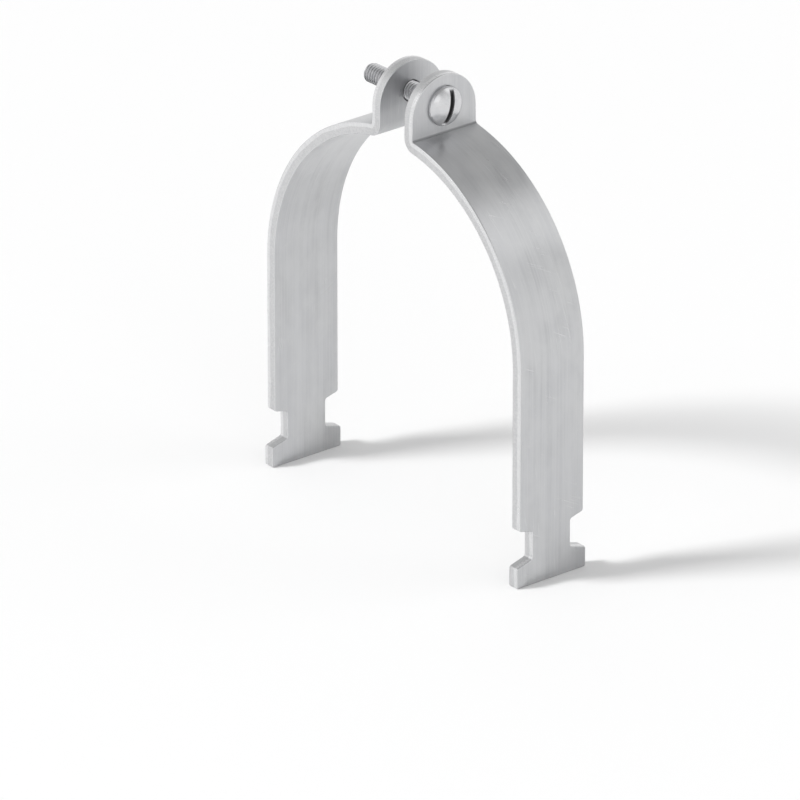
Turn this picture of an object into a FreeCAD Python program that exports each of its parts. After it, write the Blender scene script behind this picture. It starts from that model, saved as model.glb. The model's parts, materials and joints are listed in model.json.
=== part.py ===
"""Two-piece strut clamp for a pipe: two steel strap halves, one screw and one nut.

Each strap half is a stamped and folded strip. Its foot hooks under the lips of a
slotted steel channel, its leg and quarter arch follow the pipe, and its ear stands
up beside the ear of the other half. One slotted screw and one hexagon nut draw the
two ears together, which pulls both feet up against the channel lips and grips the pipe.

Frame, in millimetres: the origin is on the pipe's axis, in the middle of the strap
width. +X runs along the channel towards the half that carries the screw head, +Y
runs along the pipe, and +Z points up from the channel.
"""
import FreeCAD, Part
import math
import os

V = FreeCAD.Vector

# Pipe and channel that the clamp is made for
PIPE_DIAMETER = 141.3        # outside diameter of nominal 5 in steel pipe
PIPE_EASE = 0.85             # radial gap to the pipe before the screw is tightened
CHANNEL_LIP_DEPTH = 7.15     # how far the channel's in-turned lips reach down

# Strap strip
STRAP_WIDTH = 31.75          # 1 1/4 in strip
STRAP_THICKNESS = 4.76       # 3/16 in strip
EDGE_RADIUS = 0.45           # rolled-over rim of the stamped strip
FOLD_INSIDE_RADIUS = 1.0     # inside radius where the arch folds up into the ear

# Ears
EAR_GAP = 14.5               # between the ears, with the pipe in place
HOLE_HEIGHT = 11.1           # screw hole's centre above the fold line on the outer face
HOLE_TO_TOP = 12.6           # from the hole's centre to the ear's top
HOLE_DIAMETER = 8.73         # 11/32 in clearance hole

# Foot that hooks under the channel lips
NECK_WIDTH = 19.05           # passes the channel's 22.2 mm slot
FOOT_WIDTH = 34.5            # turns in under the lips
FOOT_HEIGHT = 10.7           # at the neck
FOOT_DROP = 2.2              # how much the foot's top falls towards its tips
NOTCH_HEIGHT = 11.4          # at the neck
SHOULDER_RISE = 1.6          # how much the strap's lower end rises towards its edges
CORNER_RADIUS = 0.9          # stamped corners of the notches and the foot

# Screw, 5/16-18 with a slotted pan head
SCREW_DIAMETER = 7.94
SCREW_LENGTH = 44.45         # 1 3/4 in under the head
SCREW_POINT = 1.1            # chamfer at the end of the thread
HEAD_DIAMETER = 15.9
HEAD_HEIGHT = 4.5
HEAD_RIM_HEIGHT = 1.3        # straight rim below the dome
HEAD_EDGE_RADIUS = 0.6
SLOT_WIDTH = 2.15
SLOT_DEPTH = 2.7
SLOT_TILT = 15.0             # degrees that the slot leans from upright towards +Y
SLOT_OVERRUN = 5.0           # how far the slot's cutter runs past the head

# Nut
NUT_ACROSS_FLATS = 12.7
NUT_THICKNESS = 6.75
NUT_CHAMFER_ANGLE = 30.0
NUT_MOUTH_CHAMFER = 0.6

# Clearances
SEAT_CLEARANCE = 0.05        # head to ear and nut to ear
THREAD_CLEARANCE = 0.05      # radial, screw in nut

# Levels and radii that follow from the sizes above
inner_radius = PIPE_DIAMETER / 2 + PIPE_EASE
outer_radius = inner_radius + STRAP_THICKNESS
ear_inner_x = EAR_GAP / 2
ear_outer_x = ear_inner_x + STRAP_THICKNESS
fold_line_z = math.sqrt(outer_radius ** 2 - ear_outer_x ** 2)
screw_z = fold_line_z + HOLE_HEIGHT
ear_top_z = screw_z + HOLE_TO_TOP
notch_bottom_z = -(PIPE_DIAMETER / 2 + CHANNEL_LIP_DEPTH)
notch_top_z = notch_bottom_z + NOTCH_HEIGHT
foot_bottom_z = notch_bottom_z - FOOT_HEIGHT


def arch_point(radius, degrees):
    """A point of a circle about the pipe's axis, at an angle up from +X."""
    angle = math.radians(degrees)
    return V(radius * math.cos(angle), 0, radius * math.sin(angle))


def fold_arc(centre, arch_radius, fold_radius):
    """The round that joins an arch to an upright ear face, from the arch to the ear."""
    on_arch = centre * (arch_radius / centre.Length)
    on_ear = centre - V(fold_radius, 0, 0)
    way_out = (on_arch - centre) + (on_ear - centre)
    way_out.normalize()
    return on_arch, centre + way_out * fold_radius, on_ear


def strap_section():
    """The strip seen along the pipe: leg, quarter arch, fold and ear."""
    fold_x = ear_outer_x + FOLD_INSIDE_RADIUS
    reach = outer_radius + FOLD_INSIDE_RADIUS
    centre = V(fold_x, 0, math.sqrt(reach ** 2 - fold_x ** 2))
    fold_outside_radius = FOLD_INSIDE_RADIUS + STRAP_THICKNESS
    out_arch, out_mid, out_ear = fold_arc(centre, outer_radius, FOLD_INSIDE_RADIUS)
    in_arch, in_mid, in_ear = fold_arc(centre, inner_radius, fold_outside_radius)
    outer_bottom = V(outer_radius, 0, foot_bottom_z)
    outer_spring = V(outer_radius, 0, 0)
    inner_spring = V(inner_radius, 0, 0)
    inner_bottom = V(inner_radius, 0, foot_bottom_z)
    outer_top = V(ear_outer_x, 0, ear_top_z)
    inner_top = V(ear_inner_x, 0, ear_top_z)
    edges = [
        Part.LineSegment(outer_bottom, outer_spring).toShape(),
        Part.Arc(outer_spring, arch_point(outer_radius, 45), out_arch).toShape(),
        Part.Arc(out_arch, out_mid, out_ear).toShape(),
        Part.LineSegment(out_ear, outer_top).toShape(),
        Part.LineSegment(outer_top, inner_top).toShape(),
        Part.LineSegment(inner_top, in_ear).toShape(),
        Part.Arc(in_ear, in_mid, in_arch).toShape(),
        Part.Arc(in_arch, arch_point(inner_radius, 45), inner_spring).toShape(),
        Part.LineSegment(inner_spring, inner_bottom).toShape(),
        Part.LineSegment(inner_bottom, outer_bottom).toShape(),
    ]
    return Part.Face(Part.Wire(edges))


def rounded_path(points, radius):
    """Straight runs through the points, with a round at each one between the ends."""
    edges = []
    start = points[0]
    for i in range(1, len(points) - 1):
        corner = points[i]
        back = points[i - 1] - corner
        ahead = points[i + 1] - corner
        back.normalize()
        ahead.normalize()
        half = back.getAngle(ahead) / 2
        trim = radius / math.tan(half)
        bisector = back + ahead
        bisector.normalize()
        middle = corner + bisector * (radius / math.sin(half) - radius)
        edges.append(Part.LineSegment(start, corner + back * trim).toShape())
        edges.append(Part.Arc(corner + back * trim, middle, corner + ahead * trim).toShape())
        start = corner + ahead * trim
    edges.append(Part.LineSegment(start, points[-1]).toShape())
    return edges


def blank_outline():
    """The strip seen along the channel: foot, notches, long edges and half-round ear."""
    edge = STRAP_WIDTH / 2
    neck = NECK_WIDTH / 2
    foot = FOOT_WIDTH / 2
    round_z = ear_top_z - edge
    half_path = [
        V(0, edge, round_z),
        V(0, edge, notch_top_z + SHOULDER_RISE),
        V(0, neck, notch_top_z),
        V(0, neck, notch_bottom_z),
        V(0, foot, notch_bottom_z - FOOT_DROP),
        V(0, foot, foot_bottom_z),
    ]
    mirrored = [V(0, -p.y, p.z) for p in reversed(half_path)]
    edges = rounded_path(half_path + mirrored, CORNER_RADIUS)
    edges.append(Part.Arc(V(0, -edge, round_z), V(0, 0, ear_top_z), V(0, edge, round_z)).toShape())
    return Part.Face(Part.Wire(edges))


def is_broad(face):
    """True for the faces that the strip shows as its broad inner or outer side."""
    surface = face.Surface
    if isinstance(surface, Part.Plane):
        return abs(surface.Axis.x) > 0.99
    if isinstance(surface, Part.Cylinder):
        return abs(surface.Axis.y) > 0.99
    return False


def rim_edges(shape):
    """Edges between a broad face and a cut one, where the press rolls the rim over."""
    chosen = []
    for edge in shape.Edges:
        faces = shape.ancestorsOfType(edge, Part.Face)
        if [is_broad(face) for face in faces].count(True) == 1:
            chosen.append(edge)
    return chosen


def right_strap():
    """The half at +X, which carries the screw's head."""
    strip = strap_section().extrude(V(0, FOOT_WIDTH, 0))
    strip.translate(V(0, -FOOT_WIDTH / 2, 0))
    strap = strip.common(blank_outline().extrude(V(outer_radius, 0, 0)))
    strap = strap.makeFillet(EDGE_RADIUS, rim_edges(strap))
    hole = Part.makeCylinder(HOLE_DIAMETER / 2, ear_outer_x, V(0, 0, screw_z), V(1, 0, 0))
    return strap.cut(hole).Solids[0]


def left_strap():
    """The same stamping turned half round about the upright axis."""
    strap = right_strap()
    strap.rotate(V(0, 0, 0), V(0, 0, 1), 180)
    return strap


def clamp_screw():
    """Slotted pan-head screw, its thread left as a plain shank of full diameter."""
    seat_x = ear_outer_x + SEAT_CLEARANCE
    rim_x = seat_x + HEAD_RIM_HEIGHT
    crown_x = seat_x + HEAD_HEIGHT
    tip_x = seat_x - SCREW_LENGTH
    shank = SCREW_DIAMETER / 2
    head = HEAD_DIAMETER / 2
    dome_rise = HEAD_HEIGHT - HEAD_RIM_HEIGHT
    dome_radius = (head ** 2 + dome_rise ** 2) / (2 * dome_rise)
    quarter = math.asin(head / dome_radius) / 2
    dome_centre_x = crown_x - dome_radius
    dome_mid = V(
        dome_centre_x + dome_radius * math.cos(quarter),
        0,
        dome_radius * math.sin(quarter),
    )
    edges = [
        Part.LineSegment(V(tip_x, 0, 0), V(tip_x, 0, shank - SCREW_POINT)).toShape(),
        Part.LineSegment(V(tip_x, 0, shank - SCREW_POINT), V(tip_x + SCREW_POINT, 0, shank)).toShape(),
        Part.LineSegment(V(tip_x + SCREW_POINT, 0, shank), V(seat_x, 0, shank)).toShape(),
        Part.LineSegment(V(seat_x, 0, shank), V(seat_x, 0, head)).toShape(),
        Part.LineSegment(V(seat_x, 0, head), V(rim_x, 0, head)).toShape(),
        Part.Arc(V(rim_x, 0, head), dome_mid, V(crown_x, 0, 0)).toShape(),
        Part.LineSegment(V(crown_x, 0, 0), V(tip_x, 0, 0)).toShape(),
    ]
    body = Part.Face(Part.Wire(edges)).revolve(V(0, 0, 0), V(1, 0, 0), 360)
    rim = [e for e in body.Edges if is_circle_at(e, rim_x, head)]
    body = body.makeFillet(HEAD_EDGE_RADIUS, rim)
    slot = Part.makeBox(
        SLOT_DEPTH + SLOT_OVERRUN,
        SLOT_WIDTH,
        HEAD_DIAMETER + 2 * SLOT_OVERRUN,
        V(crown_x - SLOT_DEPTH, -SLOT_WIDTH / 2, -head - SLOT_OVERRUN),
    )
    slot.rotate(V(0, 0, 0), V(1, 0, 0), -SLOT_TILT)
    body = body.cut(slot)
    body.translate(V(0, 0, screw_z))
    return body.Solids[0]


def is_circle_at(edge, x, radius):
    """True for a full circle about the X axis at the given place and size."""
    if edge.Degenerated:
        return False
    curve = edge.Curve
    if not isinstance(curve, Part.Circle):
        return False
    return abs(curve.Radius - radius) < 1e-6 and abs(curve.Center.x - x) < 1e-6


def hex_nut():
    """Hexagon nut with both faces chamfered, its thread left as a plain bore."""
    seat_x = -ear_outer_x - SEAT_CLEARANCE
    corner = NUT_ACROSS_FLATS / 2 / math.cos(math.radians(30))
    points = []
    for i in range(7):
        angle = math.radians(60 * i)
        points.append(V(seat_x, corner * math.cos(angle), corner * math.sin(angle)))
    prism = Part.Face(Part.makePolygon(points)).extrude(V(-NUT_THICKNESS, 0, 0))
    flat = NUT_ACROSS_FLATS / 2 * 0.97
    slope = math.tan(math.radians(NUT_CHAMFER_ANGLE))
    fall = (corner - flat) * slope
    outer_x = seat_x - NUT_THICKNESS
    edges = [
        Part.LineSegment(V(seat_x, 0, 0), V(seat_x, 0, flat)).toShape(),
        Part.LineSegment(V(seat_x, 0, flat), V(seat_x - fall, 0, corner)).toShape(),
        Part.LineSegment(V(seat_x - fall, 0, corner), V(outer_x + fall, 0, corner)).toShape(),
        Part.LineSegment(V(outer_x + fall, 0, corner), V(outer_x, 0, flat)).toShape(),
        Part.LineSegment(V(outer_x, 0, flat), V(outer_x, 0, 0)).toShape(),
        Part.LineSegment(V(outer_x, 0, 0), V(seat_x, 0, 0)).toShape(),
    ]
    turned = Part.Face(Part.Wire(edges)).revolve(V(0, 0, 0), V(1, 0, 0), 360)
    nut = prism.common(turned)
    bore = SCREW_DIAMETER / 2 + THREAD_CLEARANCE
    nut = nut.cut(Part.makeCylinder(bore, NUT_THICKNESS, V(outer_x, 0, 0), V(1, 0, 0)))
    mouth = bore + NUT_MOUTH_CHAMFER
    for x, way in ((seat_x, -1), (outer_x, 1)):
        cone = Part.makeCone(mouth, bore, NUT_MOUTH_CHAMFER, V(x, 0, 0), V(way, 0, 0))
        nut = nut.cut(cone)
    nut.translate(V(0, 0, screw_z))
    return nut.Solids[0]


def main():
    """Build every piece and write one file for each."""
    os.makedirs("parts", exist_ok=True)
    pieces = {
        "left_strap": left_strap(),
        "right_strap": right_strap(),
        "clamp_screw": clamp_screw(),
        "nut": hex_nut(),
    }
    for name, shape in pieces.items():
        shape.exportStep("parts/" + name + ".step")
        print(name, "valid", shape.isValid(), "volume", round(shape.Volume, 1))
    print("screw level", round(screw_z, 3), "ear top", round(ear_top_z, 3))
    print("notch from", round(notch_bottom_z, 3), "to", round(notch_top_z, 3))


main()
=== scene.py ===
import json
import math

import bmesh
import bpy
from mathutils import Matrix, Vector


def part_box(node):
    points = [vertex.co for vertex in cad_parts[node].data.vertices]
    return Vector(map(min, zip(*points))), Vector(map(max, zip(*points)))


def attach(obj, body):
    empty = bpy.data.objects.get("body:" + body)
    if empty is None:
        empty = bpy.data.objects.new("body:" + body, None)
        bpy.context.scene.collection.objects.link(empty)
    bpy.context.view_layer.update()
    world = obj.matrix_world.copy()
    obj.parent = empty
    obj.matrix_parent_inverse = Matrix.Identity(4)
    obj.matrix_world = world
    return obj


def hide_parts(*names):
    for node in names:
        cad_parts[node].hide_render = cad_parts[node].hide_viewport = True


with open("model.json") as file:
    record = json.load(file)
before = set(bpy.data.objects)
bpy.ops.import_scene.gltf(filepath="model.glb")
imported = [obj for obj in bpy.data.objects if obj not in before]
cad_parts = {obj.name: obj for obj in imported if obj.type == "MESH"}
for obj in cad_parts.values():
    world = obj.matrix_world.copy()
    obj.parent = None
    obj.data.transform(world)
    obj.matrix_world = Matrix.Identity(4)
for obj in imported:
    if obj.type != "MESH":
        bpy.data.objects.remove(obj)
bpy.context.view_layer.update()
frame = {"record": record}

# The clamp: two zinc-plated strap halves, a slotted screw and a nut.
# Meshes are built in millimetres in the clamp's own frame and scaled to metres at the end.
MM = 0.001


# Sizes read from the frame, in millimetres

def box_mm(node):
    """A node's lowest and highest corners."""
    low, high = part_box(node)
    return low / MM, high / MM


strap_low, strap_high = box_mm("right_strap")
screw_low, screw_high = box_mm("clamp_screw")
nut_low, nut_high = box_mm("nut")
pipe_seat = next(m for m in frame["record"]["mounts"] if m["name"] == "pipe_seat")

inner_radius = pipe_seat["dims"]["r_mm"]
strap_width = pipe_seat["dims"]["length_mm"]
outer_radius = strap_high.x
thickness = outer_radius - inner_radius
ear_inner_x = strap_low.x
ear_outer_x = ear_inner_x + thickness
foot_bottom_z = strap_low.z
ear_top_z = strap_high.z
foot_width = 2 * strap_high.y
axis_z = (screw_low.z + screw_high.z) / 2

# Sizes of the stamping, in millimetres
NECK_WIDTH = 19.05
NOTCH_HEIGHT = 11.4
FOOT_HEIGHT = 10.7
FOOT_DROP = 2.2              # how much the foot's top falls towards its tips
SHOULDER_RISE = 1.6          # how much the strap's lower end rises towards its edges
CORNER_RADIUS = 0.9
FOLD_INSIDE_RADIUS = 1.0
HOLE_DIAMETER = 8.73
PUNCH_RIM = 0.55             # rolled-over rim on the side the punch enters
BURR_RIM = 0.32              # sharper rim on the other side
FOLD_BULGE = 0.32            # how far the strip's edges swell on the hollow side of the fold
FOLD_SPREAD = 3.0            # how far along the strip the fold's swelling and marks reach
BULGE_START = 0.6            # share of the way from the middle to the edge where the swelling starts
BULGE_PULL = 0.4             # how much the other side draws in, as a share of the swelling
PATTERN_SHIFT = 500          # between the finishes of the two halves, so that they differ

# How finely the strip is divided
CORNER_STEPS = 5
EAR_STEPS = 28
EAR_FLAT = 0.002             # left flat at the top of the ear's half round
RIM_STEPS = 3
HOLE_SQUARE = 6.6            # from the hole's centre to the side of the square round it
HOLE_CUTS = 11               # points added to each side of that square
HOLE_INSET = 0.08
ARCH_PARTS = 48
FOLD_PARTS = 12
LEG_PARTS = 9
LEG_GAP = 4.0                # from the notch to the first line across the leg

# Sizes of the screw, in millimetres
SHANK_RADIUS = 3.95
PITCH = 25.4 / 18
THREAD_DEPTH = 0.76
THREAD_STEPS = 36            # faces in one turn of the thread
NECK_LENGTH = PITCH * 0.8    # plain neck under the head
POINT_CHAMFER = 1.1
HEAD_HEIGHT = 4.5
HEAD_RIM_HEIGHT = 1.3
HEAD_EDGE_RADIUS = 0.6
HEAD_EDGE_REACH = 1.4        # how far the rounding runs over the dome, as a share of its own radius
HEAD_SEAT_CHAMFER = 0.25
HEAD_FACES = 96
EDGE_STEPS = 5
DOME_STEPS = 12
ROD_IN_HEAD = 0.8            # how far the threaded rod runs into the head
SLOT_WIDTH = 2.15
SLOT_DEPTH = 2.7
SLOT_TILT = 15.0             # degrees that the slot leans from upright
SLOT_CUTTER_LENGTH = 24.0
LIP_RADIUS = 0.1             # rounding of the head's sharp edges
LIP_ANGLE = 35.0             # degrees between two faces above which their edge is sharp
LIP_CLEARANCE = 0.5          # how far above the bearing face the rounded edges start

# Sizes of the nut, in millimetres
THREAD_CLEARANCE = 0.06
NUT_CHAMFER_ANGLE = 30.0
NUT_FACE_SHARE = 0.97        # round face against the width across flats
NUT_EDGE = 0.12
NUT_FACES = 72
NUT_CREST_TRIM = 0.05        # taken off the crests of the nut's thread
NUT_MOUTH = 0.15             # how much wider than the thread the bore starts
NUT_FORM_MARGIN = 0.4        # how far the turned form reaches past the nut's corners
NUT_OVERRUN = 2.0            # extra length of the bar, and of the tap at each end
CORNER_HIGHLIGHT_REACH = (6.6, 7.3)    # distances from the axis between which a highlight is painted on the nut's corners

# The strap's centre line: leg, quarter arch, fold, ear
arch_middle = inner_radius + thickness / 2
fold_middle = FOLD_INSIDE_RADIUS + thickness / 2
fold_x = ear_outer_x + FOLD_INSIDE_RADIUS
fold_reach = outer_radius + FOLD_INSIDE_RADIUS
fold_z = math.sqrt(fold_reach ** 2 - fold_x ** 2)
arch_angle = math.acos(fold_x / fold_reach)
leg_end = -foot_bottom_z
arch_end = leg_end + arch_angle * arch_middle
fold_end = arch_end + arch_angle * fold_middle

# The pan head: its bearing face and its domed top
seat_x = screw_high.x - HEAD_HEIGHT
head_radius = (screw_high.y - screw_low.y) / 2
dome_rise = HEAD_HEIGHT - HEAD_RIM_HEIGHT
dome_radius = (head_radius ** 2 + dome_rise ** 2) / (2 * dome_rise)
dome_centre_x = screw_high.x - dome_radius


# Mesh helpers

def linked_object(name, bm):
    """Makes an object of a mesh and puts it in the scene."""
    mesh = bpy.data.meshes.new(name)
    bm.to_mesh(mesh)
    bm.free()
    made = bpy.data.objects.new(name, mesh)
    bpy.context.scene.collection.objects.link(made)
    return made


def mesh_object(name, bm):
    """Makes an object in metres from a mesh in millimetres."""
    bmesh.ops.scale(bm, vec=(MM, MM, MM), verts=bm.verts)
    return linked_object(name, bm)


def working_object(bm):
    """A scratch object in millimetres, for cutting one solid with another."""
    bmesh.ops.recalc_face_normals(bm, faces=bm.faces)
    return linked_object("work", bm)


def combine(base, tool, operation):
    """Joins, cuts or intersects two meshes and gives back one mesh."""
    body = working_object(base)
    other = working_object(tool)
    cut = body.modifiers.new("cut", "BOOLEAN")
    cut.operation = operation
    cut.solver = "EXACT"
    cut.object = other
    bpy.context.view_layer.update()
    graph = bpy.context.evaluated_depsgraph_get()
    result = bpy.data.meshes.new_from_object(body.evaluated_get(graph))
    made = bmesh.new()
    made.from_mesh(result)
    for piece in (body, other):
        old = piece.data
        bpy.data.objects.remove(piece)
        bpy.data.meshes.remove(old)
    bpy.data.meshes.remove(result)
    return made


def profile_edges(bm, profile, closed=False):
    """Draws (x, radius) points and the edges from each to the next, for spinning about the X axis."""
    points = [bm.verts.new((x, 0, radius)) for x, radius in profile]
    ends = points[1:] + points[:1] if closed else points[1:]
    return points + [bm.edges.new(pair) for pair in zip(points, ends)]


def turned(profile, steps, ring=False):
    """Spins a profile into a closed solid, or into a ring where its points go round."""
    bm = bmesh.new()
    bmesh.ops.spin(
        bm, geom=profile_edges(bm, profile, ring), cent=(0, 0, 0), axis=(1, 0, 0),
        angle=2 * math.pi, steps=steps, use_merge=True, use_duplicate=False,
    )
    bmesh.ops.remove_doubles(bm, verts=bm.verts, dist=1e-4)
    bmesh.ops.recalc_face_normals(bm, faces=bm.faces)
    return bm


def smooth(piece, crease):
    """Smooth shading, with edges sharper than the crease angle left crisp."""
    mesh = piece.data
    mesh.shade_smooth()
    mesh.set_sharp_from_angle(angle=math.radians(crease))
    weighting = piece.modifiers.new("weighting", "WEIGHTED_NORMAL")
    weighting.keep_sharp = True


def finish_piece(node, bm, body, crease):
    """Makes the plated piece that stands for a node and moves with its body."""
    piece = mesh_object(node + "_plated", bm)
    smooth(piece, crease)
    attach(piece, body)
    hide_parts(node)
    return piece


# The flat blank, with along as X, across as Y and depth as Z

def flat_level(z):
    """How far along the flat strip a level of the upright ear lies."""
    return fold_end + z - fold_z


def blank_corners():
    """The blank's outline, from the ear's top down one edge to the foot and back up the other."""
    edge = strap_width / 2
    neck = NECK_WIDTH / 2
    foot = foot_width / 2
    notch_low = FOOT_HEIGHT
    notch_high = FOOT_HEIGHT + NOTCH_HEIGHT
    half = [
        (flat_level(ear_top_z), edge),
        (notch_high + SHOULDER_RISE, edge),
        (notch_high, neck),
        (notch_low, neck),
        (notch_low - FOOT_DROP, foot),
        (0, foot),
    ]
    return half + [(along, -across) for along, across in reversed(half)]


def round_corners(bm, corners, radius, steps):
    """Rounds corners of the blank's outline."""
    bmesh.ops.bevel(
        bm, geom=corners, affect="VERTICES", offset=radius,
        offset_type="OFFSET", segments=steps, profile=0.5, material=-1,
    )


def cut_line(bm, place, normal):
    """Divides the blank along a line square to the normal, taking nothing away."""
    geometry = bm.verts[:] + bm.edges[:] + bm.faces[:]
    bmesh.ops.bisect_plane(bm, geom=geometry, plane_co=place, plane_no=normal, dist=1e-5)


def evenly(start, end, parts):
    """Places that divide a run into equal parts, both its ends included."""
    return [start + (end - start) * i / parts for i in range(parts + 1)]


def divide(bm, hole_along):
    """Cuts lines through the blank: along and across it round the hole, and across it where it bends."""
    leg_start = FOOT_HEIGHT + NOTCH_HEIGHT + LEG_GAP
    places = [hole_along - HOLE_SQUARE, hole_along + HOLE_SQUARE]
    places += evenly(leg_end, arch_end, ARCH_PARTS)
    places += evenly(arch_end, fold_end, FOLD_PARTS)[1:]
    places += evenly(leg_start, leg_end, LEG_PARTS)[:-1]
    for across in (-HOLE_SQUARE, HOLE_SQUARE):
        cut_line(bm, (0, across, 0), (0, 1, 0))
    for along in places:
        cut_line(bm, (along, 0, 0), (1, 0, 0))


def face_at(bm, place):
    """The face whose middle is nearest to a place."""
    return min(bm.faces, key=lambda f: (f.calc_center_median() - place).length)


def round_angle(offset):
    """The angle on a circle for a point on the rim of a square, evenly spaced along each side."""
    if abs(offset.x) >= abs(offset.y):
        turn = offset.y / abs(offset.x) * math.pi / 4
        return turn if offset.x > 0 else math.pi - turn
    turn = offset.x / abs(offset.y) * math.pi / 4
    return math.pi / 2 - turn if offset.y > 0 else turn - math.pi / 2


def punch_hole(bm, along):
    """Turns the square round the hole's centre into a ring with a round hole."""
    centre = Vector((along, 0, 0))
    bmesh.ops.subdivide_edges(bm, edges=face_at(bm, centre).edges[:], cuts=HOLE_CUTS)
    square = face_at(bm, centre)
    bmesh.ops.inset_region(bm, faces=[square], thickness=HOLE_INSET)
    for vert in square.verts:
        angle = round_angle(vert.co - centre)
        vert.co = centre + Vector((math.cos(angle), math.sin(angle), 0)) * HOLE_DIAMETER / 2
    bmesh.ops.delete(bm, geom=[square], context="FACES_ONLY")


def is_rim(edge, level):
    """True for an edge between a broad face at that level and a cut wall."""
    if len(edge.link_faces) != 2:
        return False
    if any(abs(v.co.z - level) > 1e-4 for v in edge.verts):
        return False
    upright = [abs(f.normal.z) > 0.9 for f in edge.link_faces]
    return upright.count(True) == 1


def strip_blank():
    """The stamped strip before it is bent, as a solid of even thickness with rounded rims."""
    bm = bmesh.new()
    corners = [bm.verts.new((along, across, 0)) for along, across in blank_corners()]
    bm.faces.new(corners)
    ear_corners = [corners[0], corners[-1]]
    round_corners(bm, corners[1:-1], CORNER_RADIUS, CORNER_STEPS)
    round_corners(bm, ear_corners, strap_width / 2 - EAR_FLAT, EAR_STEPS)
    hole_along = flat_level(axis_z)
    divide(bm, hole_along)
    punch_hole(bm, hole_along)

    grown = bmesh.ops.extrude_face_region(bm, geom=bm.faces[:], use_keep_orig=True)
    top = [v for v in grown["geom"] if isinstance(v, bmesh.types.BMVert)]
    bmesh.ops.translate(bm, vec=(0, 0, thickness), verts=top)
    bmesh.ops.recalc_face_normals(bm, faces=bm.faces)
    for level, rim in ((0, BURR_RIM), (thickness, PUNCH_RIM)):
        chosen = [e for e in bm.edges if is_rim(e, level)]
        bmesh.ops.bevel(
            bm, geom=chosen, affect="EDGES", offset=rim, offset_type="OFFSET",
            segments=RIM_STEPS, profile=0.5, clamp_overlap=False, material=-1,
        )
    return bm


# The bent strap

def bend(along, depth):
    """Where a point of the flat strip goes, as X and Z, from how far along and how deep it lies."""
    if along <= leg_end:
        return inner_radius + depth, along - leg_end
    if along <= arch_end:
        angle = (along - leg_end) / arch_middle
        radius = inner_radius + depth
        return radius * math.cos(angle), radius * math.sin(angle)
    if along <= fold_end:
        angle = arch_angle - (along - arch_end) / fold_middle
        radius = FOLD_INSIDE_RADIUS + thickness - depth
        return fold_x - radius * math.cos(angle), fold_z - radius * math.sin(angle)
    return ear_inner_x + depth, fold_z + along - fold_end


def swelling(across, depth, near_fold):
    """How far the fold pushes a point out sideways, or draws it in on the other side of the strip."""
    to_edge = max(0.0, abs(across) / (strap_width / 2) - BULGE_START) / (1 - BULGE_START)
    hollow_side = depth / thickness * (1 + BULGE_PULL) - BULGE_PULL
    return math.copysign(FOLD_BULGE * near_fold * to_edge ** 2 * hollow_side, across)


def make_strap(node, body, side):
    """One half: the blank with its walls and fold marked for the finish, then bent to shape."""
    bm = strip_blank()
    strip_layer = bm.verts.layers.float_vector.new("strip")
    cut_layer = bm.verts.layers.float.new("cut")
    fold_layer = bm.verts.layers.float.new("fold")
    fold_along = (arch_end + fold_end) / 2
    for vert in bm.verts:
        along, across, depth = vert.co
        rim = BURR_RIM if depth < thickness / 2 else PUNCH_RIM
        to_face = min(depth, thickness - depth)
        near_fold = math.exp(-((along - fold_along) / FOLD_SPREAD) ** 2)
        vert[strip_layer] = ((along + side * PATTERN_SHIFT) * MM, across * MM, depth * MM)
        vert[cut_layer] = min(1.0, max(0.0, to_face / rim))
        vert[fold_layer] = near_fold
        across += swelling(across, depth, near_fold)
        x, z = bend(along, depth)
        vert.co = (side * x, side * across, z)
    bmesh.ops.recalc_face_normals(bm, faces=bm.faces)
    return finish_piece(node, bm, body, crease=50)


# The screw

def threaded_rod(start, end, radius):
    """A rod along X with a right-hand thread, cut square at both ends."""
    crest = PITCH / 8
    flank = PITCH * 5 / 16
    root_radius = radius - THREAD_DEPTH
    first = math.floor(start / PITCH) * PITCH - PITCH
    profile = [
        (first, root_radius),
        (first + crest, root_radius),
        (first + (crest + flank), radius),
        (first + (2 * crest + flank), radius),
        (first + (2 * crest + 2 * flank), root_radius),
        (first + PITCH, root_radius),
    ]
    turns = math.ceil((end - first) / PITCH) + 2
    bm = bmesh.new()
    bmesh.ops.spin(
        bm, geom=profile_edges(bm, profile), cent=(0, 0, 0), axis=(1, 0, 0),
        dvec=(PITCH / THREAD_STEPS, 0, 0), angle=2 * math.pi * turns, steps=THREAD_STEPS * turns,
        use_merge=False, use_duplicate=False,
    )
    bmesh.ops.remove_doubles(bm, verts=bm.verts, dist=1e-3)
    for place, outwards in ((start, -1), (end, 1)):
        geometry = bm.verts[:] + bm.edges[:] + bm.faces[:]
        bmesh.ops.bisect_plane(
            bm, geom=geometry, plane_co=(place, 0, 0), plane_no=(outwards, 0, 0),
            clear_outer=True, dist=1e-5,
        )
    open_edges = [e for e in bm.edges if e.is_boundary]
    bmesh.ops.holes_fill(bm, edges=open_edges, sides=0)
    bmesh.ops.recalc_face_normals(bm, faces=bm.faces)
    return bm


def trim_rod(rod):
    """Chamfers the point of the thread and gives it a plain neck under the head."""
    for vert in rod.verts:
        x, y, z = vert.co
        reach = math.hypot(y, z)
        wanted = min(reach, SHANK_RADIUS, SHANK_RADIUS - POINT_CHAMFER + (x - screw_low.x))
        if x > seat_x - NECK_LENGTH:
            wanted = SHANK_RADIUS - THREAD_DEPTH / 2
        vert.co = (x, y * wanted / reach, z * wanted / reach)


def on_dome(angle):
    """A point of the head's domed top, at an angle from its crown."""
    return dome_centre_x + dome_radius * math.cos(angle), dome_radius * math.sin(angle)


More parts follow.
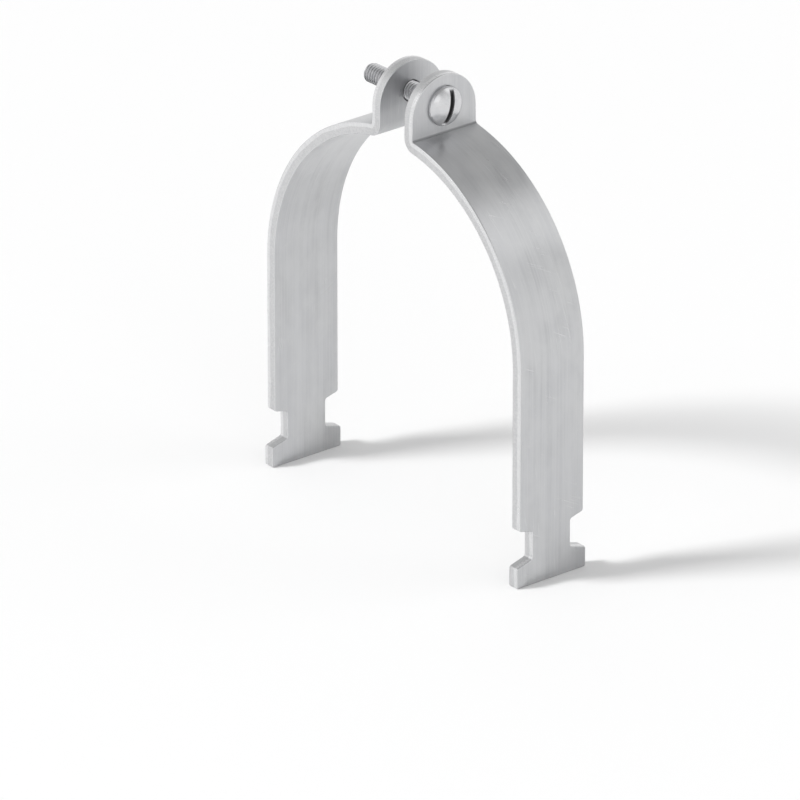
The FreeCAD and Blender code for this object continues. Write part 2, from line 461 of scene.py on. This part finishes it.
def head_profile():
    """Half section of the pan head, from its bearing face to its crown."""
    points = [
        (seat_x, 0.0),
        (seat_x, head_radius - HEAD_SEAT_CHAMFER),
        (seat_x + HEAD_SEAT_CHAMFER, head_radius),
    ]
    edge_angle = math.asin(head_radius / dome_radius) - HEAD_EDGE_RADIUS / dome_radius * HEAD_EDGE_REACH
    corner = Vector((seat_x + HEAD_RIM_HEIGHT, head_radius))
    down = corner - Vector((HEAD_EDGE_RADIUS, 0))
    up = Vector(on_dome(edge_angle))
    for t in evenly(0, 1, EDGE_STEPS):
        point = down * (1 - t) ** 2 + corner * 2 * t * (1 - t) + up * t ** 2
        points.append((point.x, point.y))
    for i in range(1, DOME_STEPS):
        points.append(on_dome(edge_angle * (1 - i / DOME_STEPS)))
    points.append((screw_high.x, 0.0))
    return points


def slot_cutter():
    """The block that cuts the tilted slot across the head."""
    block = bmesh.new()
    bmesh.ops.create_cube(block, size=1)
    size = (SLOT_DEPTH * 2, SLOT_WIDTH, SLOT_CUTTER_LENGTH)
    bmesh.ops.scale(block, vec=size, verts=block.verts)
    tilt = Matrix.Rotation(-math.radians(SLOT_TILT), 3, "X")
    bmesh.ops.rotate(block, cent=(0, 0, 0), matrix=tilt, verts=block.verts)
    bmesh.ops.translate(block, vec=(screw_high.x, 0, 0), verts=block.verts)
    return block


def is_head_edge(edge):
    """True for a sharp edge of the head, clear of its bearing face."""
    if len(edge.link_faces) != 2 or edge.calc_face_angle() <= math.radians(LIP_ANGLE):
        return False
    return all(v.co.x > seat_x + LIP_CLEARANCE for v in edge.verts)


def make_screw():
    rod = threaded_rod(screw_low.x, seat_x + ROD_IN_HEAD, SHANK_RADIUS)
    trim_rod(rod)
    body = combine(rod, turned(head_profile(), HEAD_FACES), "UNION")
    body = combine(body, slot_cutter(), "DIFFERENCE")
    lips = [e for e in body.edges if is_head_edge(e)]
    bmesh.ops.bevel(
        body, geom=lips, affect="EDGES", offset=LIP_RADIUS, offset_type="OFFSET",
        segments=2, profile=0.5, clamp_overlap=True, material=-1,
    )
    bmesh.ops.translate(body, vec=(0, 0, axis_z), verts=body.verts)
    return finish_piece("clamp_screw", body, "screw", crease=32)


# The nut

def hexagon(corner_radius):
    """A six-sided bar a little longer than the nut, with its corners just broken."""
    length = nut_high.x - nut_low.x + NUT_OVERRUN
    bar = bmesh.new()
    bmesh.ops.create_cone(
        bar, cap_ends=True, cap_tris=False, segments=6, radius1=corner_radius, radius2=corner_radius,
        depth=length, matrix=Matrix.Rotation(math.pi / 2, 4, "Y"),
    )
    middle_x = (nut_low.x + nut_high.x) / 2
    bmesh.ops.translate(bar, vec=(middle_x, 0, 0), verts=bar.verts)
    corner_edges = [e for e in bar.edges if abs(e.verts[0].co.x - e.verts[1].co.x) > length / 2]
    bmesh.ops.bevel(
        bar, geom=corner_edges, affect="EDGES", offset=NUT_EDGE, offset_type="OFFSET",
        segments=2, profile=0.5, material=-1,
    )
    return bar


def make_nut():
    low_x, high_x = nut_low.x, nut_high.x
    corner_radius = (nut_high.y - nut_low.y) / 2
    flat_radius = (nut_high.z - nut_low.z) / 2
    face = flat_radius * NUT_FACE_SHARE
    outside = corner_radius + NUT_FORM_MARGIN
    fall = (outside - face) * math.tan(math.radians(NUT_CHAMFER_ANGLE))
    groove = SHANK_RADIUS + THREAD_CLEARANCE
    bore = groove - THREAD_DEPTH + NUT_CREST_TRIM
    mouth = groove + NUT_MOUTH
    turned_form = [
        (high_x, mouth),
        (high_x, face),
        (high_x - fall, outside),
        (low_x + fall, outside),
        (low_x, face),
        (low_x, mouth),
        (low_x + mouth - bore, bore),
        (high_x - mouth + bore, bore),
    ]
    body = combine(hexagon(corner_radius), turned(turned_form, NUT_FACES, ring=True), "INTERSECT")
    tap = threaded_rod(low_x - NUT_OVERRUN, high_x + NUT_OVERRUN, groove)
    body = combine(body, tap, "DIFFERENCE")
    bmesh.ops.translate(body, vec=(0, 0, axis_z), verts=body.verts)
    return finish_piece("nut", body, "nut", crease=28)


# Shader maths

class Value:
    """A socket that can be added, multiplied and so on, each as a Math node."""

    def __init__(self, shader, socket):
        self.shader = shader
        self.socket = socket

    def _math(self, operation, *terms):
        return self.shader.node("ShaderNodeMath", {"operation": operation}, terms)

    def __add__(self, other):
        return self._math("ADD", self, other)

    def __radd__(self, other):
        return self._math("ADD", other, self)

    def __sub__(self, other):
        return self._math("SUBTRACT", self, other)

    def __rsub__(self, other):
        return self._math("SUBTRACT", other, self)

    def __mul__(self, other):
        return self._math("MULTIPLY", self, other)

    def __rmul__(self, other):
        return self._math("MULTIPLY", other, self)

    def __pow__(self, other):
        return self._math("POWER", self, other)

    def __rpow__(self, other):
        return self._math("POWER", other, self)

    def __abs__(self):
        return self._math("ABSOLUTE", self)

    def most(self, other):
        """The larger of two values."""
        return self._math("MAXIMUM", self, other)

    def diagonal(self, other):
        """The long side of a right triangle with these two as its short sides."""
        return (self * self + other * other) ** 0.5

    def swing(self, amount):
        """A noise value spread evenly to both sides of zero."""
        return (self - 0.5) * amount

    def between(self, low, high):
        """0 at low, 1 at high, and smooth from one to the other."""
        settings = {"interpolation_type": "SMOOTHSTEP"}
        inputs = {"Value": self, "From Min": low, "From Max": high}
        return self.shader.node("ShaderNodeMapRange", settings, inputs)

    def below(self, low, high):
        """1 under low, 0 over high."""
        return 1 - self.between(low, high)

    def out(self, name):
        """Another output of the same node."""
        return Value(self.shader, self.socket.node.outputs[name])

    def part(self, axis):
        """One coordinate of a place."""
        return self.shader.node("ShaderNodeSeparateXYZ", {}, [self], axis)


class Shader:
    """The node tree of a material or the world, with one method that makes any node."""

    def __init__(self, owner, surface="Principled BSDF"):
        owner.use_nodes = True
        self.owner = owner
        self.tree = owner.node_tree
        self.surface = self.tree.nodes[surface]

    def node(self, kind, settings, inputs, output=0):
        made = self.tree.nodes.new(kind)
        for key, value in settings.items():
            setattr(made, key, value)
        pairs = inputs.items() if isinstance(inputs, dict) else enumerate(inputs)
        for key, value in pairs:
            self.feed(made.inputs[key], value)
        return Value(self, made.outputs[output])

    def feed(self, socket, value):
        """Links a value to a socket, or writes a plain number, colour or vector into it."""
        if isinstance(value, Value):
            self.tree.links.new(value.socket, socket)
        elif isinstance(value, tuple) and socket.type == "RGBA":
            socket.default_value = (*value, 1)
        else:
            socket.default_value = value

    def finish(self, inputs):
        """Feeds the surface and gives back the material or the world."""
        for name, value in inputs.items():
            self.feed(self.surface.inputs[name], value)
        return self.owner

    def attribute(self, name, output):
        return self.node("ShaderNodeAttribute", {"attribute_name": name}, [], output)

    def noise(self, place, per_metre, detail=4, roughness=0.55):
        """Noise with its own number of spots to the metre along each axis."""
        stretched = self.node("ShaderNodeVectorMath", {"operation": "MULTIPLY"}, [place, per_metre])
        inputs = {"Vector": stretched, "Scale": 1.0, "Detail": detail, "Roughness": roughness}
        return self.node("ShaderNodeTexNoise", {}, inputs)

    def turned(self, place, degrees):
        """A place turned in the plane of the strip's broad faces."""
        turn = (0.0, 0.0, math.radians(degrees))
        return self.node("ShaderNodeMapping", {}, {"Vector": place, "Rotation": turn})

    def mix(self, factor, a, b):
        return self.node("ShaderNodeMix", {"data_type": "RGBA"}, {0: factor, 6: a, 7: b}, 2)

    def bump(self, height, distance, strength):
        inputs = {"Height": height, "Distance": distance, "Strength": strength}
        return self.node("ShaderNodeBump", {}, inputs)


# Colours of the plated strip, as linear red, green and blue
FACE_DARK = (0.48, 0.485, 0.495)
FACE_PALE = (0.57, 0.575, 0.58)
FACE_BLUISH = (0.525, 0.53, 0.55)
BAND_PALE = (0.61, 0.615, 0.625)
ROLLED_PALE = (0.63, 0.635, 0.64)
SCRATCH_BRIGHT = (0.75, 0.75, 0.755)
SPOT_PALE = (0.70, 0.705, 0.70)
# Painted shade for the hollow of the fold
FOLD_PAINTED_SHADE = (0.20, 0.205, 0.21)
SHEARED_DARK = (0.68, 0.685, 0.695)
SHEARED_BRIGHT = (0.77, 0.77, 0.775)
TORN_DARK = (0.56, 0.565, 0.575)
TORN_PALE = (0.67, 0.67, 0.675)
# Rim colour: partly rubbed wear, partly painted highlight
RIM_WEAR_AND_HIGHLIGHT = (0.74, 0.745, 0.75)


def plated_strip():
    """Satin zinc plating on rolled and stamped strip."""
    s = Shader(bpy.data.materials.new("zinc_plated_strip"))
    place = s.attribute("strip", "Vector")
    cut = s.attribute("cut", "Fac")
    fold = s.attribute("fold", "Fac")
    depth = place.part("Z")

    # Masks: the cut wall, its rounded rim, the torn part of the cut, and the hollow of the fold, where
    # shade is painted
    wall = cut.between(0.45, 0.95)
    rim = cut.between(0.02, 0.35) * (1 - wall)
    torn_line = s.noise(place, (160, 160, 0), detail=3) * (1.4 * MM)
    torn = (depth + torn_line).below(3.4 * MM, 3.9 * MM)
    fold_shade = fold.between(0.55, 0.98) * depth.between(3.0 * MM, 4.5 * MM) * cut.below(0.0, 0.08)

    # Patterns of the broad faces: rolling lines, clouds, handling scratches and pale spots
    rolled = s.noise(place, (18, 1500, 700), detail=5, roughness=0.6)
    band = s.noise(place, (7, 330, 200), detail=3, roughness=0.5)
    hair = s.noise(place, (60, 4200, 2000), detail=3, roughness=0.6)
    cloud = s.noise(place, (80, 130, 90))
    drift = s.noise(place, (16, 26, 20), detail=3)
    grain = s.noise(place, (3000, 3000, 3000), detail=2)
    long_lines = s.noise(s.turned(place, 7), (22, 2600, 900), detail=2, roughness=0.4)
    cross_lines = s.noise(s.turned(place, 62), (40, 3000, 900), detail=2, roughness=0.4)
    handled = s.noise(place, (60, 60, 60), detail=3).between(0.5, 0.62)
    scratch = (long_lines.between(0.66, 0.71) * 0.8 + cross_lines.between(0.69, 0.73)) * handled
    spots = s.noise(place, (900, 900, 900), detail=3).between(0.66, 0.74) * drift.between(0.45, 0.6)

    # Patterns of the cut wall: fine lines straight through it, and the crumbly torn part
    shear = s.noise(place, (2600, 2600, 90), detail=3, roughness=0.6)
    crumble = s.noise(place, (2100, 2100, 1500), roughness=0.6)

    face = s.mix(cloud.between(0.3, 0.7), FACE_DARK, FACE_PALE)
    face = s.mix(drift.between(0.35, 0.65) * 0.5, face, FACE_BLUISH)
    face = s.mix(band.between(0.35, 0.65) * 0.4, face, BAND_PALE)
    face = s.mix(rolled.between(0.35, 0.7) * 0.4, face, ROLLED_PALE)
    face = s.mix(scratch * 0.6, face, SCRATCH_BRIGHT)
    face = s.mix(spots * 0.45, face, SPOT_PALE)
    # Painted shade darkens the fold's hollow crease
    face = s.mix(fold_shade * 0.75, face, FOLD_PAINTED_SHADE)
    sheared = s.mix(shear.between(0.3, 0.7), SHEARED_DARK, SHEARED_BRIGHT)
    broken = s.mix(crumble.between(0.3, 0.7), TORN_DARK, TORN_PALE)
    colour = s.mix(wall, face, s.mix(torn, sheared, broken))
    # Paler rounded rim: partly rubbed wear, partly a painted highlight along the edges
    colour = s.mix(rim * 0.8, colour, RIM_WEAR_AND_HIGHLIGHT)

    roughness = 0.33 + rolled.swing(0.14) + band.swing(0.16) + cloud.swing(0.10) + spots * 0.12
    roughness = roughness - scratch * 0.08 - rim * 0.10 + wall * (torn * 0.14 - 0.04)
    roughness = roughness + fold_shade * 0.1 + fold ** 0.3 * 0.16
    face_height = rolled * 0.5 + hair * 0.2 + grain * 0.12 - scratch * 0.25 + spots * 0.15
    wall_height = shear * 0.5 * (1 - torn) + crumble * 1.5 * torn
    height = face_height * (1 - wall) + wall_height * wall
    relief = s.bump(height, distance=0.06 * MM, strength=0.6)
    return s.finish({"Base Color": colour, "Roughness": roughness, "Metallic": 0.94, "Normal": relief})


# Colours of the plated screw and nut
HEAD_GREY = (0.62, 0.625, 0.64)
HEAD_PALE = (0.68, 0.68, 0.69)
NICK_DULL = (0.50, 0.50, 0.50)
NUT_GREY = (0.58, 0.585, 0.60)
NUT_PALE = (0.64, 0.64, 0.65)
NUT_CORNER_HIGHLIGHT = (0.78, 0.78, 0.785)
# Painted shade for the thread's roots and the nut's bore
RECESS_PAINTED_SHADE = (0.22, 0.22, 0.22)
# Painted shade down in the screw's slot
SLOT_PAINTED_SHADE = (0.035, 0.035, 0.036)


def from_axis(s):
    """Place measured from the screw's axis, in metres."""
    place = s.node("ShaderNodeTexCoord", {}, [], "Object")
    return s.node("ShaderNodeVectorMath", {"operation": "SUBTRACT"}, [place, (0, 0, axis_z * MM)])


def plated_screw():
    """Bright zinc plating on a turned and rolled screw, with painted shade down in its slot and thread."""
    s = Shader(bpy.data.materials.new("zinc_plated_screw"))
    place = from_axis(s)
    x, y, z = place.part("X"), place.part("Y"), place.part("Z")
    reach = y.diagonal(z)

    # Masks: the head, the slot below the dome and the root of the thread; the last two get painted shade
    on_head = x.between((seat_x - 0.1) * MM, (seat_x + 0.1) * MM)
    tilt = math.radians(SLOT_TILT)
    from_slot = abs(y * math.cos(tilt) - z * math.sin(tilt))
    from_dome = (x - dome_centre_x * MM).diagonal(reach)
    sunk = from_dome.below((dome_radius - 0.9) * MM, (dome_radius - 0.12) * MM)
    slot_shade = from_slot.below(SLOT_WIDTH * 0.5 * MM, SLOT_WIDTH * 0.56 * MM) * sunk * on_head
    root_shade = reach.below((SHANK_RADIUS - THREAD_DEPTH) * MM, (SHANK_RADIUS - 0.2) * MM) * (1 - on_head)

    # Patterns: turning rings, clouds, grain and small nicks
    rings = s.node("ShaderNodeCombineXYZ", {}, [x, reach, 0.0])
    turning = s.noise(rings, (900, 2600, 0), detail=3, roughness=0.6)
    cloud = s.noise(place, (420, 420, 420))
    grain = s.noise(place, (4200, 4200, 4200), detail=2)
    nicks = s.noise(place, (1100, 1100, 1100), detail=3).between(0.64, 0.70)

    colour = s.mix(cloud.between(0.3, 0.7), HEAD_GREY, HEAD_PALE)
    colour = s.mix(nicks * 0.3, colour, NICK_DULL)
    # Painted shade in the thread's roots
    colour = s.mix(root_shade * 0.7, colour, RECESS_PAINTED_SHADE)
    # Painted shade, near black, down in the slot
    colour = s.mix(slot_shade * 0.93, colour, SLOT_PAINTED_SHADE)
    roughness = 0.25 + cloud.swing(0.08) + turning.swing(0.10) + root_shade * 0.2 + slot_shade * 0.4
    metallic = 0.95 - slot_shade * 0.6
    height = turning * 0.5 + grain * 0.2 - nicks * 0.2
    relief = s.bump(height, distance=0.04 * MM, strength=0.5)
    return s.finish({"Base Color": colour, "Roughness": roughness, "Metallic": metallic, "Normal": relief})


def plated_nut():
    """Zinc plating on a cold-formed nut, with a painted highlight on its corners and painted shade in its
    bore.
    """
    s = Shader(bpy.data.materials.new("zinc_plated_nut"))
    place = from_axis(s)
    reach = place.part("Y").diagonal(place.part("Z"))
    # Mask for the painted shade in the bore
    bore = reach.below(SHANK_RADIUS * MM, (SHANK_RADIUS + 0.5) * MM)
    corner = reach.between(CORNER_HIGHLIGHT_REACH[0] * MM, CORNER_HIGHLIGHT_REACH[1] * MM)
    cloud = s.noise(place, (380, 380, 380))
    drawn = s.noise(place, (160, 1400, 1400), detail=3)
    grain = s.noise(place, (4200, 4200, 4200), detail=2)
    colour = s.mix(cloud.between(0.3, 0.7), NUT_GREY, NUT_PALE)
    # Painted highlight on the nut's corners
    colour = s.mix(corner * 0.5, colour, NUT_CORNER_HIGHLIGHT)
    colour = s.mix(bore * 0.7, colour, RECESS_PAINTED_SHADE)
    roughness = 0.28 + cloud.swing(0.08) + drawn.swing(0.12) - corner * 0.05 + bore * 0.2
    relief = s.bump(drawn * 0.4 + grain * 0.2, distance=0.04 * MM, strength=0.5)
    return s.finish({"Base Color": colour, "Roughness": roughness, "Metallic": 0.93, "Normal": relief})


# Floor and light
FLOOR_HALF = 6000            # millimetres from the middle of the floor to its edge
FLOOR_WHITE = (0.93, 0.93, 0.93)
SKY_WHITE = (1.0, 1.0, 1.0)
SKY_LIGHT = 0.88             # the sky's strength on matte surfaces
SKY_TOP = 0.45               # its strength overhead, where it is 1 at the horizon
SKY_FADE = (0.15, 0.95)      # heights in the sky, from 0 to 1, between which it grows dimmer
KEY_PLACE = (-1.6, -3.2, 2.8)    # metres
FILL_PLACE = (3.0, -1.4, 2.0)
BACK_PLACE = (2.0, 2.6, 3.0)


def add_floor():
    bm = bmesh.new()
    bmesh.ops.create_grid(bm, x_segments=1, y_segments=1, size=FLOOR_HALF)
    bmesh.ops.translate(bm, vec=(0, 0, foot_bottom_z), verts=bm.verts)
    floor = mesh_object("floor", bm)
    s = Shader(bpy.data.materials.new("pale_floor"))
    floor.data.materials.append(s.finish({"Base Color": FLOOR_WHITE, "Roughness": 0.9}))


def add_light(name, kind, place, power):
    """A light at a place in metres, turned to face the clamp."""
    light = bpy.data.lights.new(name, kind)
    light.energy = power
    made = bpy.data.objects.new(name, light)
    made.location = place
    made.rotation_euler = (-Vector(place)).to_track_quat("-Z", "Y").to_euler()
    bpy.context.scene.collection.objects.link(made)
    return made


def add_lamp(name, place, width, power):
    """A wide round lamp, in metres and watts."""
    lamp = add_light(name, "AREA", place, power)
    lamp.data.shape = "DISK"
    lamp.data.size = width


def add_sun(place, spread, strength):
    """Soft sunlight that gives the floor its shadow and stays out of the reflections."""
    sun = add_light("sun", "SUN", place, strength)
    sun.data.angle = math.radians(spread)
    sun.visible_glossy = False


def add_world():
    """Soft light that is white round the sides, where the camera looks, and dimmer overhead."""
    world = bpy.data.worlds.new("studio")
    bpy.context.scene.world = world
    s = Shader(world, "Background")
    height = s.node("ShaderNodeTexCoord", {}, [], "Generated").part("Z")
    sky = 1 - height.between(*SKY_FADE) * (1 - SKY_TOP)
    camera_ray = s.node("ShaderNodeLightPath", {}, [], "Is Camera Ray")
    mirrored = camera_ray.out("Is Glossy Ray").most(camera_ray.out("Is Transmission Ray"))
    light = sky * (mirrored * (1 - SKY_LIGHT) + SKY_LIGHT)
    s.finish({"Color": SKY_WHITE, "Strength": light.most(camera_ray)})


# Camera
CAMERA_AZIMUTH = 50.34       # degrees
CAMERA_ELEVATION = 23.76
CAMERA_DISTANCE = 4348.0     # millimetres
CAMERA_RIGHT = -9.177        # millimetres that the view's centre lies right of the origin
CAMERA_UP = -36.609          # and above it
CAMERA_SCALE = 2.6056        # pixels for each millimetre
FRAME_PIXELS = 800
SENSOR_WIDTH = 36.0


def add_camera():
    azimuth = math.radians(CAMERA_AZIMUTH)
    elevation = math.radians(CAMERA_ELEVATION)
    back = Vector((
        math.sin(azimuth) * math.cos(elevation),
        -math.cos(azimuth) * math.cos(elevation),
        math.sin(elevation),
    ))
    right = Vector((math.cos(azimuth), math.sin(azimuth), 0))
    up = back.cross(right)
    data = bpy.data.cameras.new("camera")
    data.sensor_width = SENSOR_WIDTH
    data.lens = CAMERA_SCALE * CAMERA_DISTANCE * SENSOR_WIDTH / FRAME_PIXELS
    camera = bpy.data.objects.new("camera", data)
    camera.location = (right * CAMERA_RIGHT + up * CAMERA_UP + back * CAMERA_DISTANCE) * MM
    camera.rotation_euler = (-back).to_track_quat("-Z", "Y").to_euler()
    bpy.context.scene.collection.objects.link(camera)
    bpy.context.scene.camera = camera


# Make everything

strip_finish = plated_strip()
make_strap("left_strap", "left_half", -1).data.materials.append(strip_finish)
make_strap("right_strap", "right_half", 1).data.materials.append(strip_finish)
make_screw().data.materials.append(plated_screw())
make_nut().data.materials.append(plated_nut())

add_floor()
add_world()
add_lamp("key", KEY_PLACE, width=3.2, power=18.0)
add_lamp("fill", FILL_PLACE, width=2.4, power=6.0)
add_lamp("back", BACK_PLACE, width=2.4, power=9.0)
add_sun(KEY_PLACE, spread=14.0, strength=2.2)
add_camera()
bpy.context.scene.view_settings.view_transform = "Standard"
